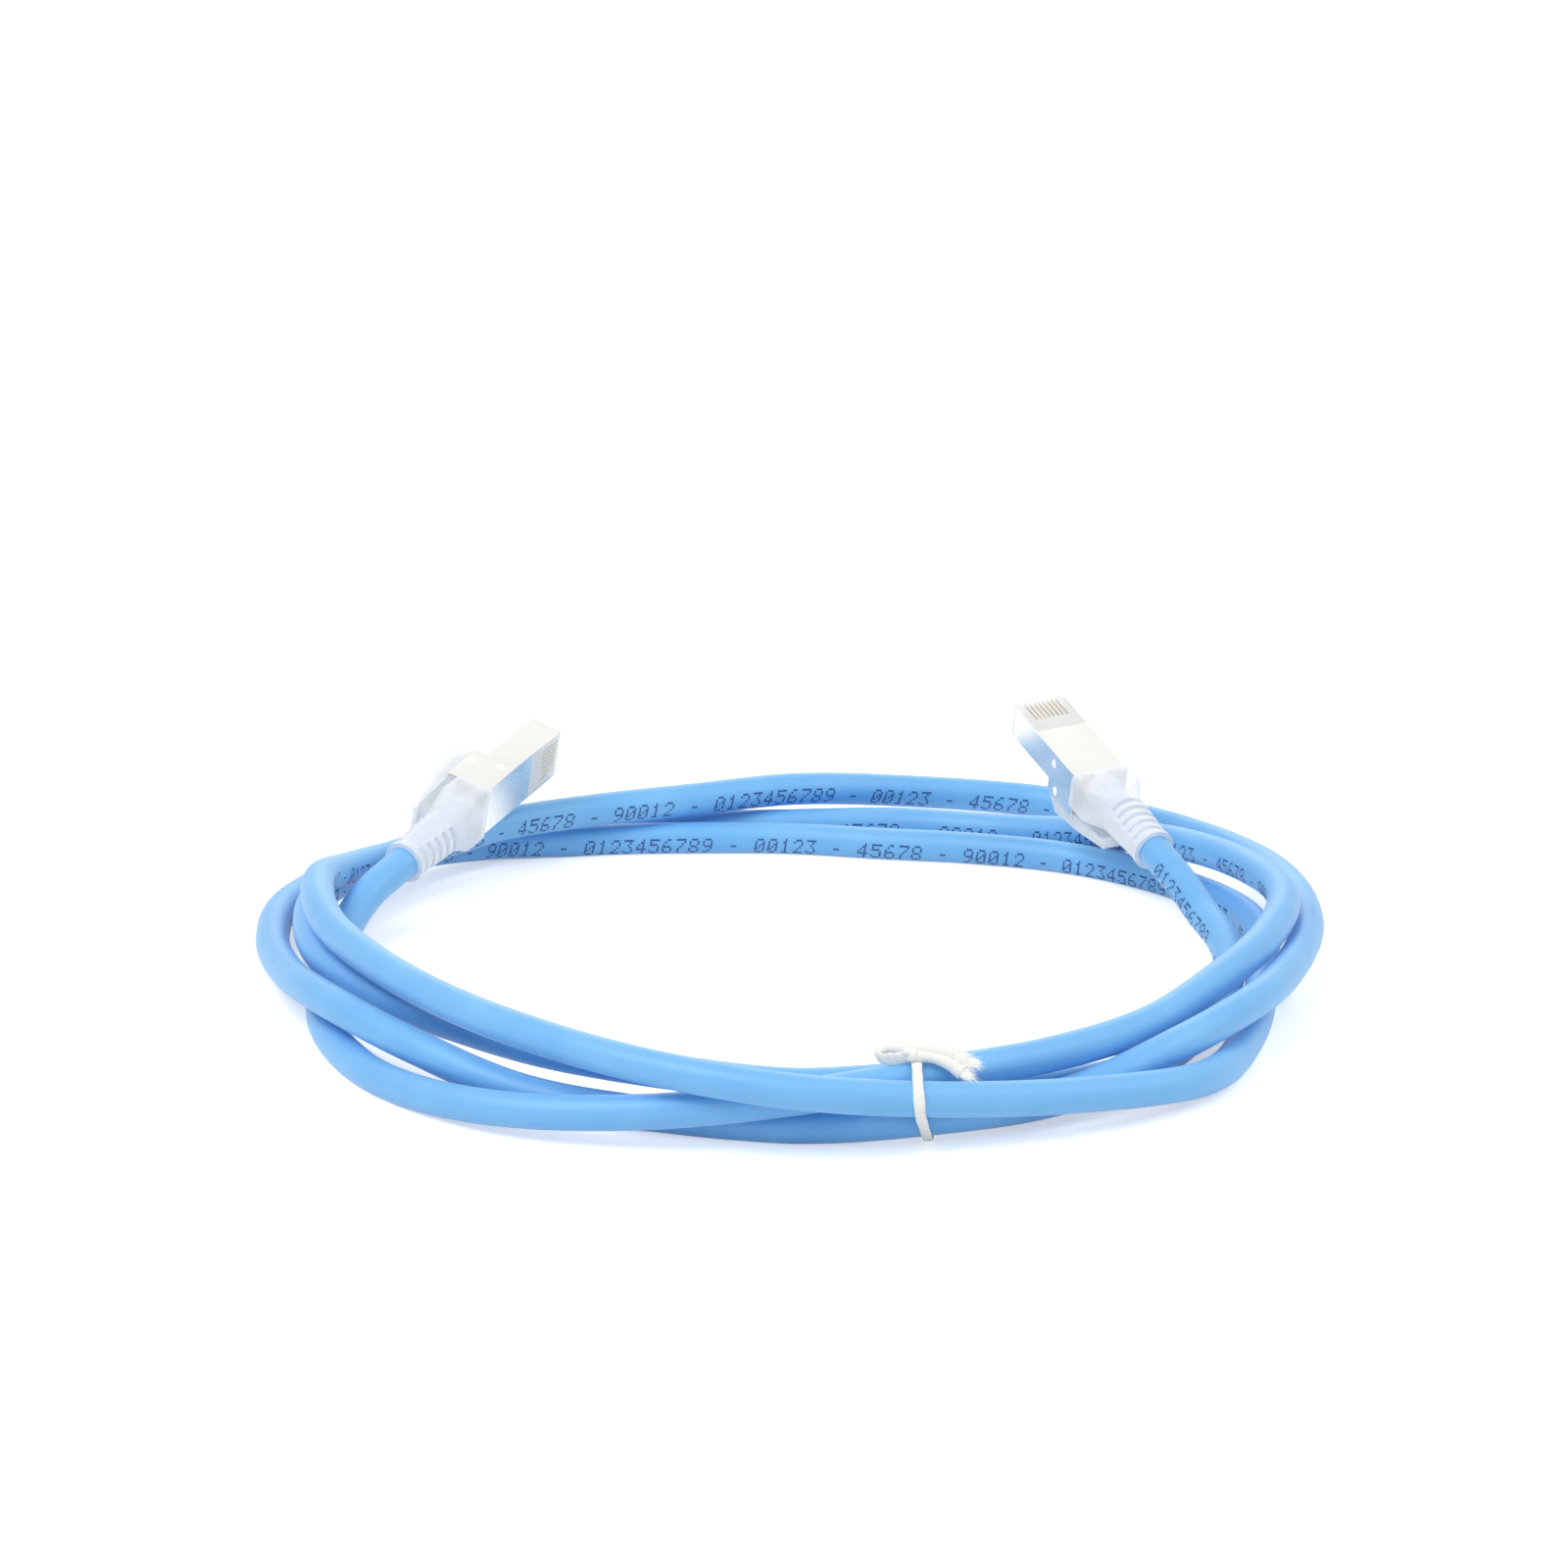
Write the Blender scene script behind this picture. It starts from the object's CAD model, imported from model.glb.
"""Looks for the coiled shielded patch cable: jacket, print, string tie, plugs, boots and latch hoods.

Metres throughout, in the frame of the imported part: Z up from the surface that the coil lies on, Y away
from the viewer, X to the right. Every new surface is a grid of points worked out with numpy, most of
them a profile carried along a line.
"""

import math

import bpy
import numpy as np
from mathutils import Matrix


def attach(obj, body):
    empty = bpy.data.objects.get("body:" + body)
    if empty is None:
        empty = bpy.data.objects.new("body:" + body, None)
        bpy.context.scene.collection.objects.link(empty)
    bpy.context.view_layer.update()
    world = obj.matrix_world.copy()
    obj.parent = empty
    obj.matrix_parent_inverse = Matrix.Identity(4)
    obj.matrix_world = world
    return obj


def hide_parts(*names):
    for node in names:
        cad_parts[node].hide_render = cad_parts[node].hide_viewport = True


MM = 0.001

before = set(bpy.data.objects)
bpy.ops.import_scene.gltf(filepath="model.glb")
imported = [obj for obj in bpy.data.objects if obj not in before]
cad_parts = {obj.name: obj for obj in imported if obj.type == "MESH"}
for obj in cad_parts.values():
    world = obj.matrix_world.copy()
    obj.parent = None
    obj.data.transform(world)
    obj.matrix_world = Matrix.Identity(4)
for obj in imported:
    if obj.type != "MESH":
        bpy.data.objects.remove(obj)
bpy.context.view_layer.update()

# ---------------------------------------------------------------- sizes, as in the part's source

CABLE_D = 6.8 * MM
CABLE_R = CABLE_D / 2
REST = 0.4 * CABLE_D
CENTRE = np.array([-0.3, -7, 0]) * MM

NOSE = {"a": np.array([-51.3, 67, 25.2]) * MM, "b": np.array([51.4, 71.8, 30.7]) * MM}
TURN = {"a": (-107, 12.5, 238), "b": (3.5, 17, 296.5)}

# The coil's stations: how far each is from the coil's middle, and how high off the surface, in mm.
# STEPS is the number of steps on the cable's line from one station to the next.
FIRST_ANGLE = 195
STATIONS_PER_TURN = 24
STEPS = 20
REACH = [
    95, 102, 107.5, 110, 107, 103.5, 101, 98, 96, 95.5, 96.5, 98,
    95, 92, 91, 90, 87, 83, 84.5, 92, 101, 104.5, 106, 103.5,
    102, 103, 101.5, 100, 97, 100, 103, 102, 104, 104, 101.8, 103,
    106, 111, 113, 112, 99, 86, 80, 81, 85, 88.5, 92, 94,
    94, 94, 95, 99, 106, 111, 109, 110, 110.5, 101.5, 95.5, 94.5,
    95, 90, 84, 77, 72.5, 73.5, 76.5, 83.5, 92, 95.5, 97.5, 96,
    95, 92.5, 90.5, 91.5, 92, 94, 93, 93, 95, 91,
]
LIFT = [
    0, 0, 0, 2, 4.2, 7, 9.4, 9, 9, 11.3, 12, 12,
    10.5, 8, 4, 0.5, 0, 0, 0, 0, 0, 0, 1, 2.5,
    5, 8, 6, 2, 0, 0.2, 1.8, 1.9, 7, 8.8, 7, 5.5,
    4, 1.5, 0.5, 0.5, 3.5, 7, 7.5, 7.5, 7.5, 7, 10, 15,
    15, 15, 14, 13.5, 13, 11.1, 7.4, 4.7, 1.8, 0, 0, 0,
    0, 0, 0, 0, 0, 0, 0, 0, 1.5, 4, 5, 7,
    7.5, 7.5, 7.5, 7.5, 7, 6, 5.5, 0.5, 0, 0,
]
LEAD_A = np.array([[-88, 6, 8.2], [-90, -3, 5.3], [-91.5, -11, 3.3]]) * MM
LEAD_B = np.array([[84, -31.5, 2.9], [85.5, -22, 3.8], [87, -13, 5], [86, -3, 6.7], [82.8, 6.5, 8.5]]) * MM

PLUG_W = 11.7 * MM
PLUG_HALF_H = 3.45 * MM
WINDOW_D = 1.7 * MM
WINDOW_STRETCH = 0.2 * MM
WINDOW_X = 19 * MM
WINDOW_Z = 1 * MM
SKIRT_WINDOW_BACK = 1.6 * MM
SKIRT_WINDOW_DROP = 1.3 * MM
SHIELD_LEN = 29 * MM
BOOT_END = 52.5 * MM
CABLE_EXIT = BOOT_END + CABLE_D
STRAIGHT_OUT = 3 * MM
CORE_D = 5.3 * MM
CORE_DEPTH = 3 * MM

# The tie crosses each turn between this station and the next.
TIE_FROM = 5
TIE_X = 23.5 * MM
TIE_GAP = 0.25 * MM
STRING_W = 2 * MM
STRING_T = 0.5 * MM

# ---------------------------------------------------------------- lines and grids


def unit(v):
    return v / np.linalg.norm(v, axis=-1, keepdims=True)


def smooth_line(points, steps):
    """Cubic through the points: each stretch leaves and arrives along the mean of the two steps that
    meet at the point, each step weighted by the other's length."""
    p = np.asarray(points, float)
    step = np.diff(p, axis=0)
    length = np.linalg.norm(step, axis=1)[:, None]
    slope = step / length
    inner = (slope[:-1] * length[1:] + slope[1:] * length[:-1]) / (length[1:] + length[:-1])
    m = np.vstack([slope[:1], inner, slope[-1:]])
    t = np.linspace(0, 1, steps, endpoint=False)[None, :, None]
    a, b = p[:-1, None], p[1:, None]
    ma, mb = m[:-1, None] * length[:, None], m[1:, None] * length[:, None]
    leaving = (2 * t**3 - 3 * t**2 + 1) * a + (t**3 - 2 * t**2 + t) * ma
    line = leaving + (3 * t**2 - 2 * t**3) * b + (t**3 - t**2) * mb
    return np.vstack([line.reshape(-1, 3), p[-1:]])


def distance_along(line):
    return np.concatenate([[0], np.cumsum(np.linalg.norm(np.diff(line, axis=0), axis=1))])


def read_along(distance, along, values):
    """Rows of values, known at the distances along, read at other distances."""
    return np.stack([np.interp(distance, along, column) for column in np.transpose(values)], -1)


def sides_of(line, upward=(0, 0, 1)):
    """Two directions square to the line at each point: one level and one that leans upward."""
    heading = unit(np.gradient(line, axis=0))
    level = unit(np.cross(heading, upward))
    return level, np.cross(level, heading)


def carried(line, profile, upward=(0, 0, 1)):
    """Profile carried along a line. profile is (rings or 1, sides, 2): how far to go level and upward."""
    level, up = sides_of(line, upward)
    profile = np.broadcast_to(profile, (len(line), profile.shape[-2], 2))
    return line[:, None] + profile[..., :1] * level[:, None] + profile[..., 1:] * up[:, None]


def oval(width, height, sides):
    """Points round an oval: half the width times cosine, half the height times sine."""
    a = np.linspace(0, 2 * np.pi, sides, endpoint=False)
    return np.stack([width / 2 * np.cos(a), height / 2 * np.sin(a)], -1)[None]


def grid_faces(rings, sides, closed_along):
    """Quads between neighbouring rings, each ring closed on itself."""
    i = np.arange(rings if closed_along else rings - 1)[:, None]
    k = np.arange(sides)[None]
    here, there = i * sides, (i + 1) % rings * sides
    across = (k + 1) % sides
    corners = np.broadcast_arrays(here + k, there + k, there + across, here + across)
    return np.stack(corners, -1).reshape(-1, 4)


def tube_mesh(name, grid, closed_along=False, length=None):
    """Mesh of a closed-profile grid, its ends closed by a fan, with a UV map of distance and turn. length
    gives each ring's distance along where the grid's middle line would give another."""
    rings, sides = grid.shape[:2]
    quads = grid_faces(rings, sides, closed_along)
    points = grid.reshape(-1, 3)
    faces = quads.tolist()
    if not closed_along:
        points = np.vstack([points, grid[0].mean(0), grid[-1].mean(0)])
        k = np.arange(sides)
        first, final = rings * sides, rings * sides + 1
        faces += np.stack([np.full(sides, first), k, (k + 1) % sides], -1).tolist()
        back = (rings - 1) * sides
        faces += np.stack([np.full(sides, final), back + (k + 1) % sides, back + k], -1).tolist()
    mesh = bpy.data.meshes.new(name)
    mesh.from_pydata(points.tolist(), [], faces)
    along = distance_along(grid.mean(1)) if length is None else length
    i, k = np.divmod(np.arange(len(quads)), sides)
    ahead = along[np.minimum(i + 1, rings - 1)]
    u = np.stack([along[i], ahead, ahead, along[i]], -1)
    v = np.stack([k, k, k + 1, k + 1], -1) / sides
    uv = np.zeros((len(mesh.loops), 2))
    uv[: u.size] = np.stack([u.ravel(), v.ravel()], -1)
    mesh.uv_layers.new(name="surface").data.foreach_set("uv", uv.ravel())
    mesh.shade_smooth()
    return mesh


def piece(name, mesh, material, body, replaces=()):
    """Puts a mesh in the scene as a piece that rides on a body."""
    mesh.materials.append(material)
    made = bpy.data.objects.new(name, mesh)
    bpy.context.scene.collection.objects.link(made)
    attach(made, body)
    if replaces:
        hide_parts(*replaces)
    return made


# ---------------------------------------------------------------- the plugs' places


def turned(plug):
    """Turn of a plug's own axes: about x, then y, then z."""
    x, y, z = (math.radians(a) for a in TURN[plug])
    about_x = np.array([[1, 0, 0], [0, math.cos(x), -math.sin(x)], [0, math.sin(x), math.cos(x)]])
    about_y = np.array([[math.cos(y), 0, math.sin(y)], [0, 1, 0], [-math.sin(y), 0, math.cos(y)]])
    about_z = np.array([[math.cos(z), -math.sin(z), 0], [math.sin(z), math.cos(z), 0], [0, 0, 1]])
    return about_z @ about_y @ about_x


def at_plug(plug, points):
    """Points of a plug's own axes, x back from its nose and z out of its contact face, in the coil's."""
    return NOSE[plug] + np.asarray(points) @ turned(plug).T


def behind(plug, *distances):
    """Points on a plug's middle line, at these distances back from its nose."""
    return at_plug(plug, [[d, 0, 0] for d in distances])


# ---------------------------------------------------------------- camera


def make_camera():
    data = bpy.data.cameras.new("camera")
    data.sensor_width = 36
    data.lens = 155
    camera = bpy.data.objects.new("camera", data)
    camera.location = (-0.00107, -1.2696, 0.4405)
    camera.rotation_euler = (math.radians(72.5), 0, 0)
    bpy.context.scene.collection.objects.link(camera)
    bpy.context.scene.camera = camera


# ---------------------------------------------------------------- route of the cable


def coil_stations():
    """One point at each station, at its reach from the middle and its lift off the surface."""
    angle = np.radians(FIRST_ANGLE + np.arange(len(REACH)) * 360 / STATIONS_PER_TURN)
    reach = np.array(REACH) * MM
    return np.stack([reach * np.cos(angle), reach * np.sin(angle), REST + np.array(LIFT) * MM], -1)


def cable_line():
    """From inside boot A, round the coil, to inside boot B."""
    out_of_a = behind("a", *IN_BOOT)
    into_b = behind("b", *IN_BOOT[::-1])
    points = np.vstack([out_of_a, LEAD_A, coil_stations(), LEAD_B, into_b])
    return smooth_line(points, STEPS) - CENTRE


IN_BOOT = [SHIELD_LEN, CABLE_EXIT, CABLE_EXIT + STRAIGHT_OUT]
POINTS_BEFORE_COIL = len(IN_BOOT) + len(LEAD_A)
CABLE_LINE = cable_line()

# ---------------------------------------------------------------- materials


def colour(red, green, blue):
    """A screen colour out of 255 as the linear colour that a shader takes."""
    c = np.array([red, green, blue]) / 255
    linear = np.where(c < 0.04045, c / 12.92, ((c + 0.055) / 1.055) ** 2.4)
    return (*linear.tolist(), 1.0)


class Value:
    """A number socket of a finish. Its operators add Math nodes."""

    def __init__(self, finish, socket):
        self.finish = finish
        self.socket = socket

    def math(self, operation, first, second):
        made = self.finish.node("ShaderNodeMath", {"operation": operation}, {0: first, 1: second})
        return Value(self.finish, made.outputs[0])

    def __add__(self, other):
        return self.math("ADD", self, other)

    def __sub__(self, other):
        return self.math("SUBTRACT", self, other)

    def __mul__(self, other):
        return self.math("MULTIPLY", self, other)

    def __radd__(self, other):
        return self.math("ADD", other, self)

    def __rsub__(self, other):
        return self.math("SUBTRACT", other, self)

    def __rmul__(self, other):
        return self.math("MULTIPLY", other, self)

    def above(self, level):
        """1 where the value is over the level, else 0."""
        return self.math("GREATER_THAN", self, level)

    def wave(self):
        """Sine of the value in turns."""
        return self.math("SINE", self * (2 * math.pi), 0)


class Finish:
    """A material with one Principled shader, and the nodes that feed it."""

    def __init__(self, name):
        self.material = bpy.data.materials.new(name)
        self.material.use_nodes = True
        self.tree = self.material.node_tree
        self.shader = next(n for n in self.tree.nodes if n.type == "BSDF_PRINCIPLED")

    def feed(self, socket, value):
        value = value.socket if isinstance(value, Value) else value
        if isinstance(value, bpy.types.NodeSocket):
            self.tree.links.new(value, socket)
        else:
            socket.default_value = value

    def node(self, kind, settings, sockets):
        """Any node: its settings first, and then its sockets' values or links."""
        made = self.tree.nodes.new(kind)
        for name, value in settings.items():
            setattr(made, name, value)
        for name, value in sockets.items():
            self.feed(made.inputs[name], value)
        return made

    def shade(self, **values):
        """Sets the shader's sockets. An underscore in a name stands for a space."""
        for name, value in values.items():
            self.feed(self.shader.inputs[name.replace("_", " ")], value)

    def place(self, scale=(1, 1, 1), turn=(0, 0, 0)):
        where = self.node("ShaderNodeTexCoord", {}, {}).outputs["Object"]
        sockets = {"Vector": where, "Scale": scale, "Rotation": [math.radians(a) for a in turn]}
        return self.node("ShaderNodeMapping", {}, sockets).outputs[0]

    def noise(self, scale, detail, place=None):
        sockets = {"Vector": place or self.place(), "Scale": scale, "Detail": detail}
        return Value(self, self.node("ShaderNodeTexNoise", {}, sockets).outputs["Fac"])

    def surface(self, axis):
        """Axis 0 is the distance along the piece, in metres, and axis 1 the share of a turn round it."""
        uv = self.node("ShaderNodeTexCoord", {}, {}).outputs["UV"]
        return Value(self, self.node("ShaderNodeSeparateXYZ", {}, {0: uv}).outputs[axis])

    def mix(self, share, first, second):
        sockets = {0: share, 6: first, 7: second}
        return self.node("ShaderNodeMix", {"data_type": "RGBA"}, sockets).outputs[2]

    def bump(self, height, distance):
        sockets = {"Height": height, "Distance": distance}
        self.shade(Normal=self.node("ShaderNodeBump", {}, sockets).outputs[0])


def jacket_finish():
    """Sky-blue soft vinyl: satin, faintly mottled, with the fine grain and slow ripple of extrusion."""
    f = Finish("jacket")
    cloud = f.noise(60, 3)
    grain = f.noise(2600, 2)
    ripple = (f.surface(0) * 90 + f.noise(35, 1) * 2).wave()
    f.shade(
        Base_Color=f.mix(cloud * 1.6 - 0.3, colour(100, 177, 238), colour(122, 193, 246)),
        Roughness=0.4 + f.noise(700, 2) * 0.14,
        Specular_IOR_Level=0.7,
        Sheen_Weight=0.2,
        Subsurface_Weight=0.06,
        Subsurface_Radius=(0.3, 0.6, 0.8),
        Subsurface_Scale=1 * MM,
    )
    f.bump(grain * 0.04 + ripple * 0.03 + cloud * 0.1, 0.6 * MM)
    return f.material


def ink_finish():
    """Dark blue ink-jet dots, thin where the jacket's grain shows through."""
    f = Finish("ink")
    patch = f.noise(1500, 2)
    f.shade(
        Base_Color=f.mix(patch, colour(24, 60, 120), colour(52, 100, 168)),
        Roughness=0.5 + patch * 0.2,
    )
    return f.material


def string_finish():
    """White cotton: plies that lean round the string, and loose fluff."""
    f = Finish("string")
    ply = (f.surface(0) * 700 + f.surface(1) * 2).wave()
    fluff = f.noise(5200, 3)
    f.shade(
        Base_Color=f.mix(ply * 0.1 + fluff * 0.8, colour(232, 232, 225), colour(252, 251, 247)),
        Roughness=0.8 + fluff * 0.15,
        Sheen_Weight=0.3,
        Emission_Color=colour(250, 249, 244),
        Emission_Strength=0.07,
    )
    f.bump(ply * 0.16 + fluff * 0.4, 0.15 * MM)
    return f.material


def fibre_finish():
    """Loose cotton fibres, which pass light on to each other."""
    f = Finish("fibre")
    fluff = f.noise(3000, 2)
    f.shade(
        Base_Color=f.mix(fluff, colour(240, 240, 236), colour(253, 253, 251)),
        Roughness=0.8 + fluff * 0.1,
        Emission_Color=colour(250, 250, 246),
        Emission_Strength=0.22,
    )
    return f.material


def milky_finish(name, tint, see_through, glow):
    """Milky soft plastic: part of the light goes through, the rest scatters white. The glow is the light
    that reaches the near side from behind."""
    f = Finish(name)
    cloud = f.noise(180, 3)
    scuff = f.noise(1600, 3)
    f.shade(
        Base_Color=f.mix(cloud, colour(*tint), colour(248, 251, 253)),
        Roughness=0.3 + scuff * 0.14,
        Alpha=1 - see_through + cloud * 0.12,
        Emission_Color=colour(*tint),
        Emission_Strength=glow,
        Coat_Weight=0.15,
        Coat_Roughness=0.2,
    )
    f.bump(cloud * 0.7 + scuff * 0.15, 0.12 * MM)
    return f.material


def sheet_metal_finish(name, bright, dull, roughness):
    """Plated sheet: fine rolling lines one way, stains and small scratches."""
    f = Finish(name)
    rolled = f.noise(600, 2, f.place(scale=(1, 8, 1), turn=(0, 0, 30)))
    stain = f.noise(90, 1)
    f.shade(
        Base_Color=f.mix(stain * 1.4 - 0.2, colour(*dull), colour(*bright)),
        Metallic=1.0,
        Roughness=roughness + rolled * 0.06 + stain * 0.05,
    )
    f.bump(rolled * 0.04 + stain * 0.4, 0.03 * MM)
    return f.material


def wire_finish(name, tint):
    """Insulated wire: solid colour with short pale rings, as on a striped pair."""
    f = Finish(name)
    ring = f.noise(300, 0).above(0.52)
    shine = f.noise(2500, 2)
    f.shade(
        Base_Color=f.mix(ring * 0.75, colour(*tint), colour(244, 244, 240)),
        Roughness=0.35 + shine * 0.15,
    )
    f.bump(shine * 0.3, 0.03 * MM)
    return f.material


def pad_finish():
    """White plastic behind the shield's windows, lit from inside the clear housing."""
    f = Finish("window_pad")
    cloud = f.noise(500, 2)
    f.shade(
        Base_Color=f.mix(cloud, colour(244, 245, 244), colour(252, 252, 251)),
        Roughness=0.35 + cloud * 0.1,
        Emission_Color=colour(250, 251, 252),
        Emission_Strength=0.16,
    )
    f.bump(cloud * 0.3, 0.02 * MM)
    return f.material


def moulded_finish(name, tint):
    """Opaque moulded plastic with a fine spark-eroded grain."""
    f = Finish(name)
    grain = f.noise(4200, 2)
    cloud = f.noise(150, 2)
    f.shade(
        Base_Color=f.mix(cloud, colour(*tint), colour(250, 250, 247)),
        Roughness=0.4 + grain * 0.2,
    )
    f.bump(grain * 0.5, 0.04 * MM)
    return f.material


def node_finishes():
    """The finish of each CAD node that stays, by the start of its name."""
    return {
        "plug_housing": milky_finish("milky_housing", (243, 244, 241), 0.3, 0.03),
        "latch": milky_finish("milky_latch", (244, 246, 246), 0.45, 0.03),
        "contacts": sheet_metal_finish("gold_plate", (240, 226, 192), (216, 198, 156), 0.3),
        "wire_sled": moulded_finish("sled", (236, 236, 230)),
        "pair_blue": wire_finish("wire_blue", (52, 100, 190)),
        "pair_orange": wire_finish("wire_orange", (238, 140, 48)),
        "pair_green": wire_finish("wire_green", (60, 150, 90)),
        "pair_brown": wire_finish("wire_brown", (130, 88, 60)),
        "foil": sheet_metal_finish("foil", (232, 234, 238), (204, 208, 214), 0.25),
        "shield": sheet_metal_finish("shield_plate", (246, 246, 242), (236, 236, 231), 0.22),
        "ferrule": sheet_metal_finish("ferrule_plate", (224, 224, 226), (202, 202, 206), 0.3),
        "boot": milky_finish("milky_boot", (238, 244, 251), 0.45, 0.085),
        "hood": milky_finish("milky_hood", (236, 241, 246), 0.5, 0.03),
    }


# ---------------------------------------------------------------- cable


def cable_grid():
    """Circle carried along the cable's line. Under the surface it is pressed flat, and at each end a bore
    goes in, where the core and its foil leave the jacket."""
    sides = 24
    grid = carried(CABLE_LINE, oval(CABLE_D, CABLE_D, sides))
    grid[..., 2] = np.maximum(grid[..., 2], 0)
    bores = carried(CABLE_LINE, oval(CORE_D, CORE_D, sides))
    heading = unit(np.gradient(CABLE_LINE, axis=0))
    front = [bores[0] + CORE_DEPTH * heading[0], bores[0]]
    back = [bores[-1], bores[-1] - CORE_DEPTH * heading[-1]]
    return np.concatenate([front, grid, back])


def make_cable():
    along = distance_along(CABLE_LINE)
    length = np.concatenate([[0, 0], along, [along[-1]] * 2])
    mesh = tube_mesh("cable", cable_grid(), length=length)
    taken = ("cable_coil", "lead_a", "lead_b", "cable_end_a", "cable_end_b")
    return piece("cable", mesh, jacket_finish(), "cable", taken)


# ---------------------------------------------------------------- print on the jacket

DIGITS = {
    "0": "01110 10001 10011 10101 11001 10001 01110",
    "1": "00100 01100 00100 00100 00100 00100 01110",
    "2": "01110 10001 00001 00010 00100 01000 11111",
    "3": "11111 00010 00100 00010 00001 10001 01110",
    "4": "00010 00110 01010 10010 11111 00010 00010",
    "5": "11111 10000 11110 00001 00001 10001 01110",
    "6": "00110 01000 10000 11110 10001 10001 01110",
    "7": "11111 00001 00010 00100 01000 01000 01000",
    "8": "01110 10001 10001 01110 10001 10001 01110",
    "9": "01110 10001 10001 01111 00001 00010 01100",
    "-": "00000 00000 00000 01110 00000 00000 00000",
    " ": "00000 00000 00000 00000 00000 00000 00000",
}
PRINTED = "0123456789 - 00123 - 45678 - 90012 - "
DIGIT_STEP = 2.8 * MM
COLUMN_STEP = 0.42 * MM
ROW_STEP = 0.5 * MM
DOT_R = 0.25 * MM
DOT_SIDES = 6
DOT_SLANT = 0.2
INK_HEIGHT = 0.02 * MM
# Degrees that the print's middle stands above the jacket's inner side: on the coil, and at plug B.
PRINT_ANGLE = -12
LEAD_PRINT_ANGLE = 10


def printed_dots():
    """How far along the print and how high in it each ink dot is, for one run of the print."""
    rows = np.array([[list(map(int, row)) for row in DIGITS[c].split()] for c in PRINTED])
    digit, row, column = np.nonzero(rows)
    height = (3 - row) * ROW_STEP
    return digit * DIGIT_STEP + column * COLUMN_STEP + height * DOT_SLANT, height


def print_mesh():
    """Small six-sided dots on the side of the jacket that faces into the coil. The print reads from plug B
    towards plug A, and climbs the jacket where the cable leaves the coil for plug B."""
    dot_along, dot_round = printed_dots()
    along = distance_along(CABLE_LINE)
    first = along[POINTS_BEFORE_COIL * STEPS]
    coil_end = along[(POINTS_BEFORE_COIL + len(REACH) - 1) * STEPS]
    final = along[-1] - (CABLE_EXIT - SHIELD_LEN)
    run = len(PRINTED) * DIGIT_STEP
    ends = np.arange(final, first, -run)
    s = (ends[:, None] - dot_along).ravel()
    h = np.tile(dot_round, len(ends))
    turn = np.linspace(0, 2 * np.pi, DOT_SIDES, endpoint=False)
    s = s[:, None] + DOT_R * np.cos(turn)
    middle_angle = np.radians(np.interp(s, [coil_end, final], [PRINT_ANGLE, LEAD_PRINT_ANGLE]))
    a = middle_angle + (h[:, None] - DOT_R * np.sin(turn)) / CABLE_R
    level, up = sides_of(CABLE_LINE)
    middle, side, top = (read_along(s, along, values) for values in (CABLE_LINE, -level, up))
    reach = CABLE_R + INK_HEIGHT
    points = middle + reach * (np.cos(a)[..., None] * side + np.sin(a)[..., None] * top)
    points[..., 2] = np.maximum(points[..., 2], 0)
    mesh = bpy.data.meshes.new("jacket_print")
    dots = np.arange(points.size // 3).reshape(-1, DOT_SIDES)
    mesh.from_pydata(points.reshape(-1, 3).tolist(), [], dots.tolist())
    return mesh


def make_print():
    piece("jacket_print", print_mesh(), ink_finish(), "cable")


# ---------------------------------------------------------------- string tie

TOWARD_VIEWER = np.array([0, -1, 0])
ALONG_COIL = np.array([1, 0, 0])
UPWARD = np.array([0, 0, 1])
STRING_D = 1.75 * MM
STRING_SIDES = 16
SWELL = 0.04
SHORT_SWELL = 0.9 * MM
LONG_SWELL = 2.3 * MM


def tied_strands():
    """Middles of the four strands where they cross the tie's upright plane: how far to the front, and how
    high."""
    crossings = []
    for turn in range(4):
        first = (POINTS_BEFORE_COIL + TIE_FROM + turn * STATIONS_PER_TURN) * STEPS
        x, y, z = (CABLE_LINE[first : first + STEPS + 1] + CENTRE).T
        crossings.append([-np.interp(TIE_X, x, y), np.interp(TIE_X, x, z)])
    return np.array(crossings)


def in_tie_plane(front, height, aside=0.0):
    """Points at a distance to the front and a height, in the tie's plane or aside of it."""
    along = (TIE_X + aside) * np.ones_like(front)
    return np.stack([along, -front, height], -1) - CENTRE


def on_tie(points):
    """Points on top of the tie, given in mm: x down the strands' slope, y along the coil, z off them."""
    strands = tied_strands()
    slope = unit(strands[2] - strands[0])
    down_slope = slope[0] * TOWARD_VIEWER + slope[1] * UPWARD
    off = slope[0] * UPWARD - slope[1] * TOWARD_VIEWER
    top = in_tie_plane(strands[0, 0], strands[0, 1]) + (CABLE_R + TIE_GAP + STRING_T) * off
    return top + np.asarray(points) * MM @ np.stack([down_slope, ALONG_COIL, off])


BAND_DIRECTIONS = 180
BAND_POINTS = 160
BAND_HEIGHTS = np.array([0, 8.5, 15.5]) * MM
BAND_ASIDE = np.array([2.0, 0.25, -0.3]) * MM


def band_line():
    """Tight line round the strands: in each direction the farthest strand, and its reach from there. It
    drifts aside as it goes down."""
    strands = tied_strands()
    turn = np.linspace(0, 2 * np.pi, BAND_DIRECTIONS, endpoint=False)
    out = np.stack([np.cos(turn), np.sin(turn)], -1)
    farthest = strands[np.argmax(out @ strands.T, axis=1)]
    ring = farthest + (CABLE_R + TIE_GAP + STRING_T / 2) * out
    ring = np.vstack([ring, ring[:1]])
    along = distance_along(ring)
    even = np.linspace(0, along[-1], BAND_POINTS, endpoint=False)
    front, high = read_along(even, along, ring).T
    return in_tie_plane(front, high, np.interp(high, BAND_HEIGHTS, BAND_ASIDE))


def overlapped(line):
    """A closed line's last point, the line, and its first point again."""
    return np.vstack([line[-1:], line, line[:1]])


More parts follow.
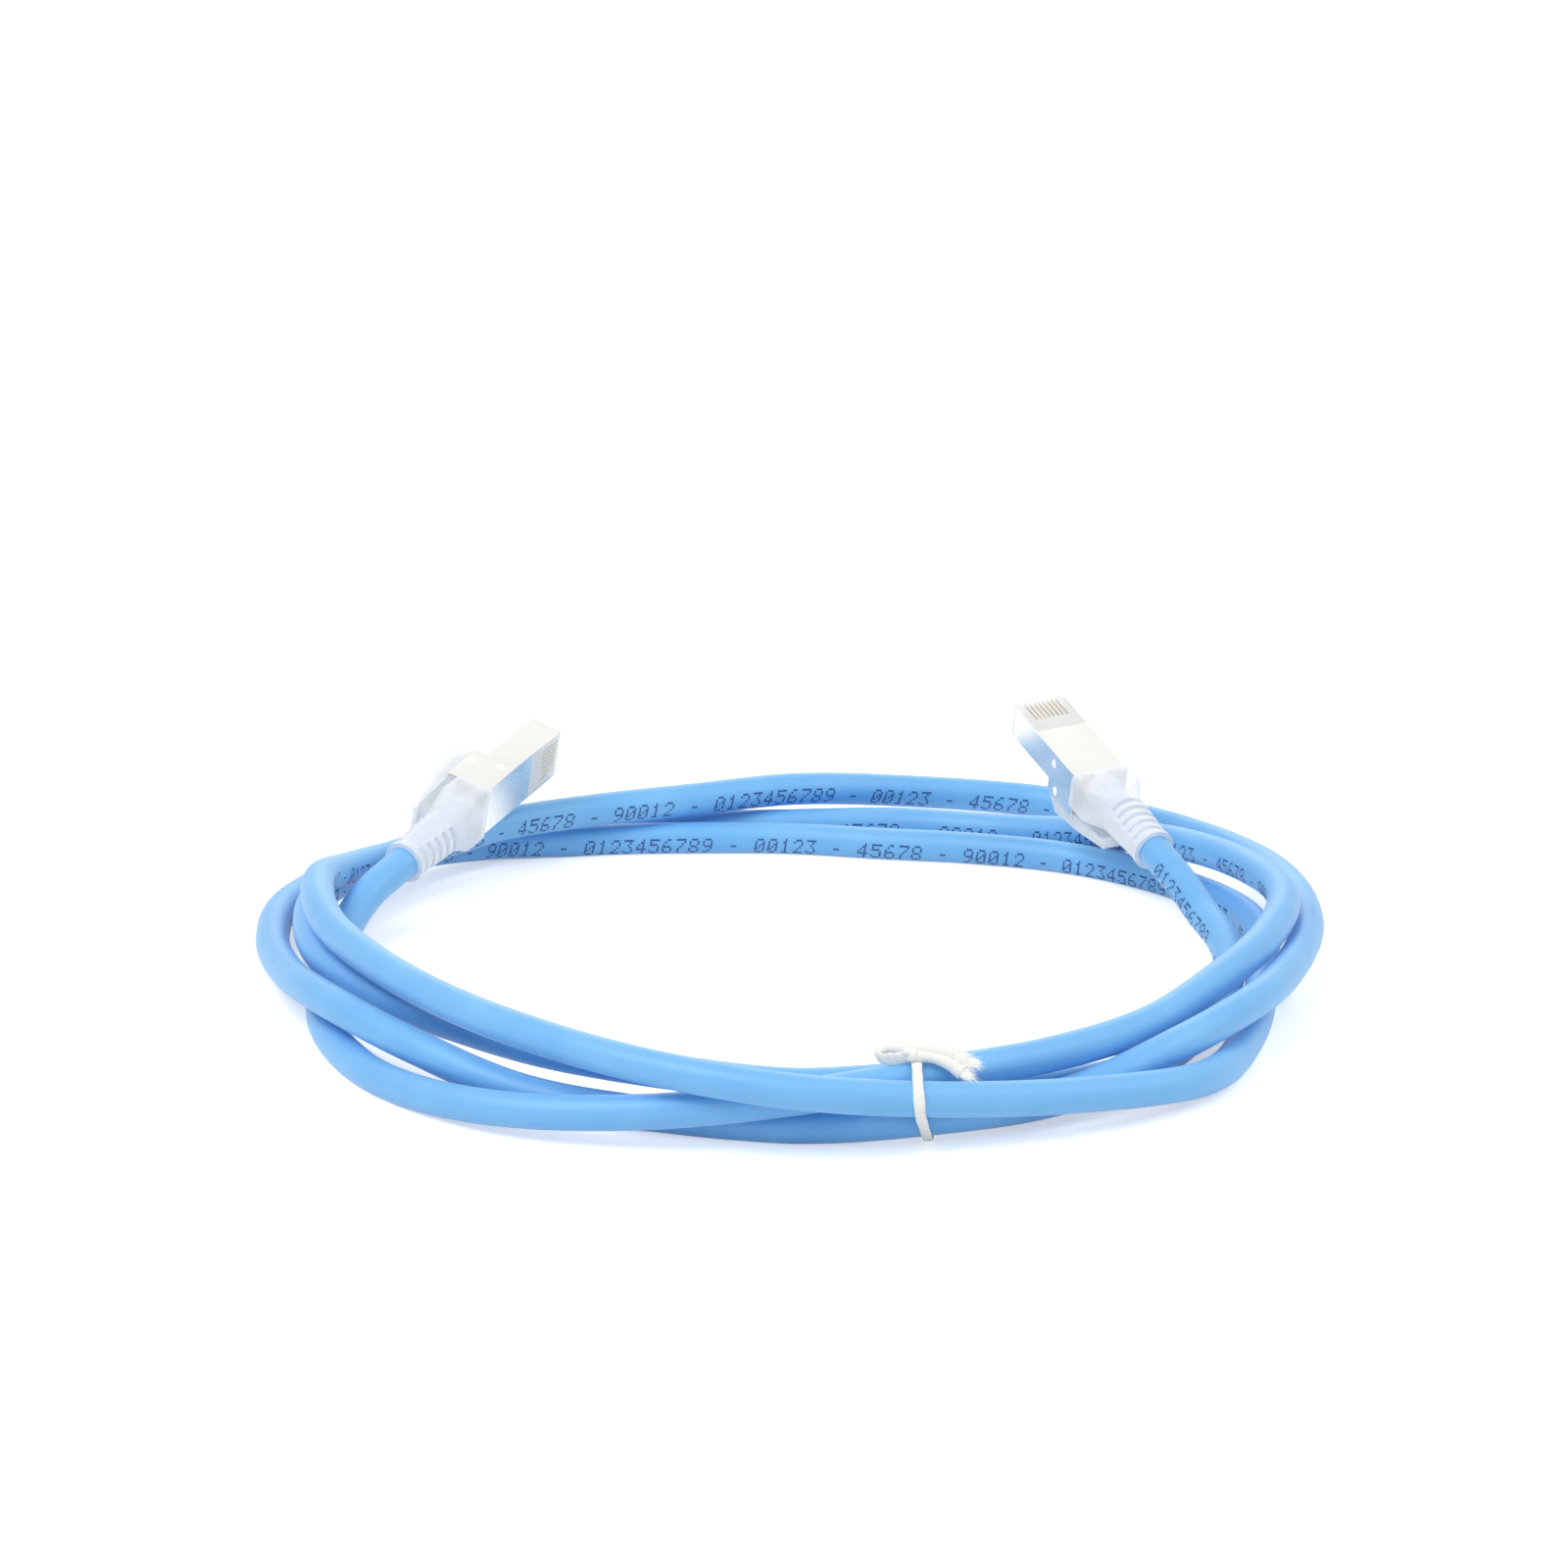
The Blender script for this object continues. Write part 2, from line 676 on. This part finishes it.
def flat_string(line, width, thickness):
    """Soft-edged oval that swells and shrinks a little along the string."""
    along = distance_along(line)
    swell = 1 + SWELL * np.sin(along / SHORT_SWELL) + SWELL * np.sin(along / LONG_SWELL + 1)
    return oval(thickness, width, STRING_SIDES) * swell[:, None, None]


def make_band(string):
    closed = overlapped(band_line())
    grid = carried(closed, flat_string(closed, STRING_W, STRING_T), ALONG_COIL)[1:-1]
    mesh = tube_mesh("string_band", grid, closed_along=True)
    piece("string_band", mesh, string, "cable", ("tie_band",))


KNOT_MIDDLE = [0.6, -1.5, 1.2]
KNOT_R = 0.33
KNOT_RISE = 0.5
KNOT_STRING_D = 0.85 * STRING_D
KNOT_UPWARD = (0.1, 0.2, 1)
KNOT_POINTS = 72
KNOT_SIDES = 12


def knot_line():
    """Trefoil: to a circle is added one of twice its size and speed that turns the other way, and the line
    rises three times a lap."""
    t = np.linspace(0, 2 * np.pi, KNOT_POINTS, endpoint=False)
    x = KNOT_R * (np.sin(t) + 2 * np.sin(2 * t))
    y = KNOT_R * (np.cos(t) - 2 * np.cos(2 * t))
    z = -KNOT_RISE * np.sin(3 * t)
    return on_tie(KNOT_MIDDLE + np.stack([x, y, z], -1))


def make_knot(string):
    closed = overlapped(knot_line())
    grid = carried(closed, oval(KNOT_STRING_D, KNOT_STRING_D, KNOT_SIDES), KNOT_UPWARD)[1:-1]
    mesh = tube_mesh("string_knot", grid, closed_along=True)
    piece("string_knot", mesh, string, "cable", ("tie_knot",))


BOW = [
    [0.7, -0.9, 1.4], [0.1, -2.6, 1.8], [-0.5, -4.5, 1.8], [-0.6, -6.2, 1.6], [0.2, -7.4, 1.1],
    [1.1, -7.0, 0.6], [1.3, -5.6, 0.45], [1.2, -4.1, 0.45], [1.0, -2.9, 0.6], [0.8, -1.6, 0.9],
]
BOW_THICKNESS = [1.05, 1.1, 1.1, 1.05, 0.9, 0.5, 0.3, 0.3, 0.5, 0.9]
BOW_WIDTH = [1.05, 1.1, 1.1, 1.05, 1, 1.2, 1.45, 1.45, 1.2, 0.9]
BEND_STEPS = 12


def make_bow(string):
    """One loop of string: out of the knot, round, and back flat on its edge along the dip between two
    strands."""
    line = smooth_line(on_tie(BOW), BEND_STEPS)
    here, points = np.linspace(0, 1, len(line)), np.linspace(0, 1, len(BOW))
    share = read_along(here, points, np.transpose([BOW_THICKNESS, BOW_WIDTH]))
    mesh = tube_mesh("string_bow", carried(line, flat_string(line, STRING_D, STRING_D) * share[:, None]))
    piece("string_bow", mesh, string, "cable", ("tie_loop",))


TAILS = {
    "string_tail_near": [
        [0.8, -1.4, 1.1], [1.0, 0.2, 0.9], [1.3, 3.2, 0.5], [2.0, 5.6, -0.2], [3.2, 8.0, -1.5],
    ],
    "string_tail_far": [
        [0.2, -1.6, 1.8], [0, 0, 1.8], [0, 3.8, 1.5], [0.3, 6.6, 0.8], [0.8, 9.0, -0.1],
    ],
}
TAIL_STRING_T = 0.9 * STRING_D
WIDENING = ([0, 0.4, 1], [1, 1.1, 1.6])


def make_tails(string):
    """Two ends of string that widen toward their frayed tips."""
    for name, points in TAILS.items():
        line = smooth_line(on_tie(points), BEND_STEPS)
        widening = np.interp(np.linspace(0, 1, len(line)), *WIDENING)[:, None, None]
        mesh = tube_mesh(name, carried(line, flat_string(line, STRING_D, TAIL_STRING_T) * widening))
        piece(name, mesh, string, "cable")
    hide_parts("tie_tail")


SEED = 11
FIBRES = 1300
FIBRE_RINGS = 8
FIBRE_SIDES = 3
FIBRE_R = 0.09
FIBRE_TIP = 0.05
FIBRE_START = (0, 1.1)
FIBRE_RUN = (0.8, 3.4)
FIBRE_FORWARD = np.array([0.25, 1, -0.35])
FIBRE_SPREAD = [0.4, 0.3, 0.3]
FIBRE_DRIFT = [0.3, 0, -0.1]
FIBRE_DRIFT_SPREAD = [1.3, 0.5, 0.6]
FIBRE_CURL = 0.35


def fray_mesh():
    """Loose fibres, in mm on the tie: each starts in a tail's end, runs on, and drifts sideways more and
    more, thinning to nothing. Three sides, and all of them at once."""
    rng = np.random.default_rng(SEED)
    tails = np.array([tail[-2:] for tail in TAILS.values()])
    which = rng.integers(0, len(tails), FIBRES)
    back = rng.uniform(*FIBRE_START, FIBRES)[:, None]
    start = tails[which, 1] + back * (tails[which, 0] - tails[which, 1])
    start = start + rng.normal(0, 1, (FIBRES, 3)) * FIBRE_SPREAD
    run = rng.uniform(*FIBRE_RUN, FIBRES)[:, None]
    drift = rng.normal(0, 1, (FIBRES, 3)) * FIBRE_DRIFT_SPREAD + FIBRE_DRIFT
    curl = rng.normal(0, FIBRE_CURL, (FIBRES, 3))
    t = np.linspace(0, 1, FIBRE_RINGS)[None, :, None]
    path = start[:, None] + t * run[:, None] * FIBRE_FORWARD + t**2 * drift[:, None] + t**3 * curl[:, None]
    turn = np.linspace(0, 2 * np.pi, FIBRE_SIDES, endpoint=False)
    thick = FIBRE_R * (1 + FIBRE_TIP - t[0, :, 0])
    ring = np.stack([np.cos(turn), 0 * turn, np.sin(turn)], -1)
    grid = path[:, :, None] + thick[None, :, None, None] * ring
    first = np.arange(FIBRES)[:, None] * FIBRE_RINGS * FIBRE_SIDES
    walls = (first[..., None] + grid_faces(FIBRE_RINGS, FIBRE_SIDES, False)).reshape(-1, 4)
    roots = first + [[2, 1, 0]]
    tips = first + (FIBRE_RINGS - 1) * FIBRE_SIDES + [[0, 1, 2]]
    mesh = bpy.data.meshes.new("string_fray")
    points = on_tie(grid.reshape(-1, 3))
    mesh.from_pydata(points.tolist(), [], walls.tolist() + roots.tolist() + tips.tolist())
    mesh.shade_smooth()
    return mesh


def make_fray():
    piece("string_fray", fray_mesh(), fibre_finish(), "cable")


# ---------------------------------------------------------------- plugs

BEVEL = {
    "plug_housing": 0.12 * MM,
    "boot": 0.25 * MM,
    "latch": 0.2 * MM,
    "hood": 0.3 * MM,
    "contacts": 0.06 * MM,
    "wire_sled": 0.1 * MM,
}


def round_edges(made, width):
    """Joins the loose triangles' corners and rounds the sharp edges."""
    made.modifiers.new("weld", "WELD").merge_threshold = 0.01 * MM
    bevel = made.modifiers.new("edges", "BEVEL")
    bevel.width = width
    bevel.segments = 2
    bevel.limit_method = "ANGLE"
    bevel.angle_limit = math.radians(35)


def dress_nodes():
    """Gives each CAD node that stays its finish and its rounded edges."""
    finishes = node_finishes()
    for name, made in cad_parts.items():
        kind = next((k for k in finishes if name.startswith(k)), None)
        if kind is None:
            continue
        for slot in made.material_slots:
            slot.material = finishes[kind]
        if kind in BEVEL:
            round_edges(made, BEVEL[kind])


WINDOWS = [[WINDOW_X, WINDOW_Z], [WINDOW_X + SKIRT_WINDOW_BACK, -PLUG_HALF_H - SKIRT_WINDOW_DROP]]
PAD_DEPTH = 0.06 * MM
PAD_DOME = 0.04 * MM
PAD_RIM = 0.12 * MM
PAD_MIDDLE = 0.04
PAD_RINGS = 6
PAD_SIDES = 24


def pad_grid():
    """Shallow oval dome: rings that shrink to the middle, each raised by the square root of what it lost.
    The first ring is the foot of its rim."""
    share = np.linspace(1, PAD_MIDDLE, PAD_RINGS)[:, None]
    a = np.linspace(0, 2 * np.pi, PAD_SIDES, endpoint=False)[None]
    x = share * WINDOW_D / 2 * np.cos(a)
    z = share * (WINDOW_D / 2 + WINDOW_STRETCH) * np.sin(a)
    dome = np.stack([x, PAD_DOME * np.sqrt(1 - share**2) + 0 * x, z], -1)
    return np.concatenate([dome[:1] * [1, 0, 1] - [0, PAD_RIM, 0], dome])


def make_window_pads(plug, white):
    """White pads that show in the shield's four windows, a little under the sheet's face."""
    dome = pad_grid()
    rings, sides = dome.shape[:2]
    pads = []
    for x, z in WINDOWS:
        pad = [x, PLUG_W / 2 - PAD_DEPTH, z] + dome
        pads += [pad[:, ::-1] * [1, -1, 1], pad]
    points = at_plug(plug, pads) - CENTRE
    first = np.arange(len(pads))[:, None, None] * rings * sides
    walls = (first + grid_faces(rings, sides, False)).reshape(-1, 4)
    foot = np.arange(sides)
    ends = (first + [foot, rings * sides - 1 - foot]).reshape(-1, sides)
    mesh = bpy.data.meshes.new(f"window_pads_{plug}")
    mesh.from_pydata(points.reshape(-1, 3).tolist(), [], walls.tolist() + ends.tolist())
    return piece(f"window_pads_{plug}", mesh, white, "cable")


PLUG_KINDS = (
    "plug_housing", "contacts", "wire_sled", "pair_blue", "pair_orange", "pair_green", "pair_brown",
    "foil", "shield", "ferrule", "boot", "latch", "hood",
)


def plug_pieces(plug):
    return [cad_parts[f"{kind}_{plug}"] for kind in PLUG_KINDS]


# ---------------------------------------------------------------- floor and light

FLOOR_HALF = 4
FLOOR_DROP = 0.05 * MM
FLOOR_GLOW = 0.48
SKY_AS_LIGHT = 0.55
SKY_AS_SEEN = 1.0


def white_for_the_eye(tree, dim, bright):
    """Strength for a background: bright where it is seen straight, mirrored or through, dim as a light."""
    path = tree.nodes.new("ShaderNodeLightPath")
    seen = path.outputs["Is Camera Ray"]
    for name in ("Is Glossy Ray", "Is Transmission Ray"):
        either = tree.nodes.new("ShaderNodeMath")
        either.operation = "MAXIMUM"
        tree.links.new(seen, either.inputs[0])
        tree.links.new(path.outputs[name], either.inputs[1])
        seen = either.outputs[0]
    strength = tree.nodes.new("ShaderNodeMapRange")
    strength.inputs["To Min"].default_value = dim
    strength.inputs["To Max"].default_value = bright
    tree.links.new(seen, strength.inputs["Value"])
    return strength.outputs[0]


def make_floor():
    corners = [(x * FLOOR_HALF, y * FLOOR_HALF, 0) for x, y in ((-1, -1), (1, -1), (1, 1), (-1, 1))]
    mesh = bpy.data.meshes.new("floor")
    mesh.from_pydata(corners, [], [(0, 1, 2, 3)])
    f = Finish("floor")
    f.shade(Base_Color=(0.9, 0.9, 0.9, 1), Roughness=0.9, Emission_Color=(1, 1, 1, 1))
    f.shade(Emission_Strength=white_for_the_eye(f.tree, 0, FLOOR_GLOW))
    mesh.materials.append(f.material)
    floor = bpy.data.objects.new("floor", mesh)
    floor.location.z = -FLOOR_DROP
    bpy.context.scene.collection.objects.link(floor)


def make_world():
    world = bpy.data.worlds.new("studio")
    bpy.context.scene.world = world
    world.use_nodes = True
    sky = next(n for n in world.node_tree.nodes if n.type == "BACKGROUND")
    sky.inputs["Color"].default_value = (1, 1, 1, 1)
    strength = white_for_the_eye(world.node_tree, SKY_AS_LIGHT, SKY_AS_SEEN)
    world.node_tree.links.new(strength, sky.inputs["Strength"])


def make_lamp(name, place, size, watts):
    """Round lamp that looks at the middle of the coil."""
    data = bpy.data.lights.new(name, "AREA")
    data.shape = "DISK"
    data.size = size
    data.energy = watts
    lamp = bpy.data.objects.new(name, data)
    lamp.location = place
    x, y, z = place
    lamp.rotation_euler = (math.atan2(math.hypot(x, y), z), 0, math.atan2(x, -y))
    bpy.context.scene.collection.objects.link(lamp)


def make_lights():
    make_world()
    make_lamp("key", place=(-0.9, -0.7, 1.7), size=1.2, watts=18)
    make_lamp("fill", place=(1.4, -0.4, 1.4), size=1.6, watts=9)
    make_lamp("rim", place=(0, 1.7, 0.75), size=1.0, watts=4)
    bpy.context.scene.view_settings.view_transform = "Standard"


# ---------------------------------------------------------------- the scene

make_camera()
cable = make_cable()
white = pad_finish()
make_window_pads("a", white)
plug_pieces("b") + [make_window_pads("b", white)]
make_print()
string = string_finish()
make_band(string)
make_knot(string)
make_bow(string)
make_tails(string)
make_fray()
dress_nodes()
make_floor()
make_lights()
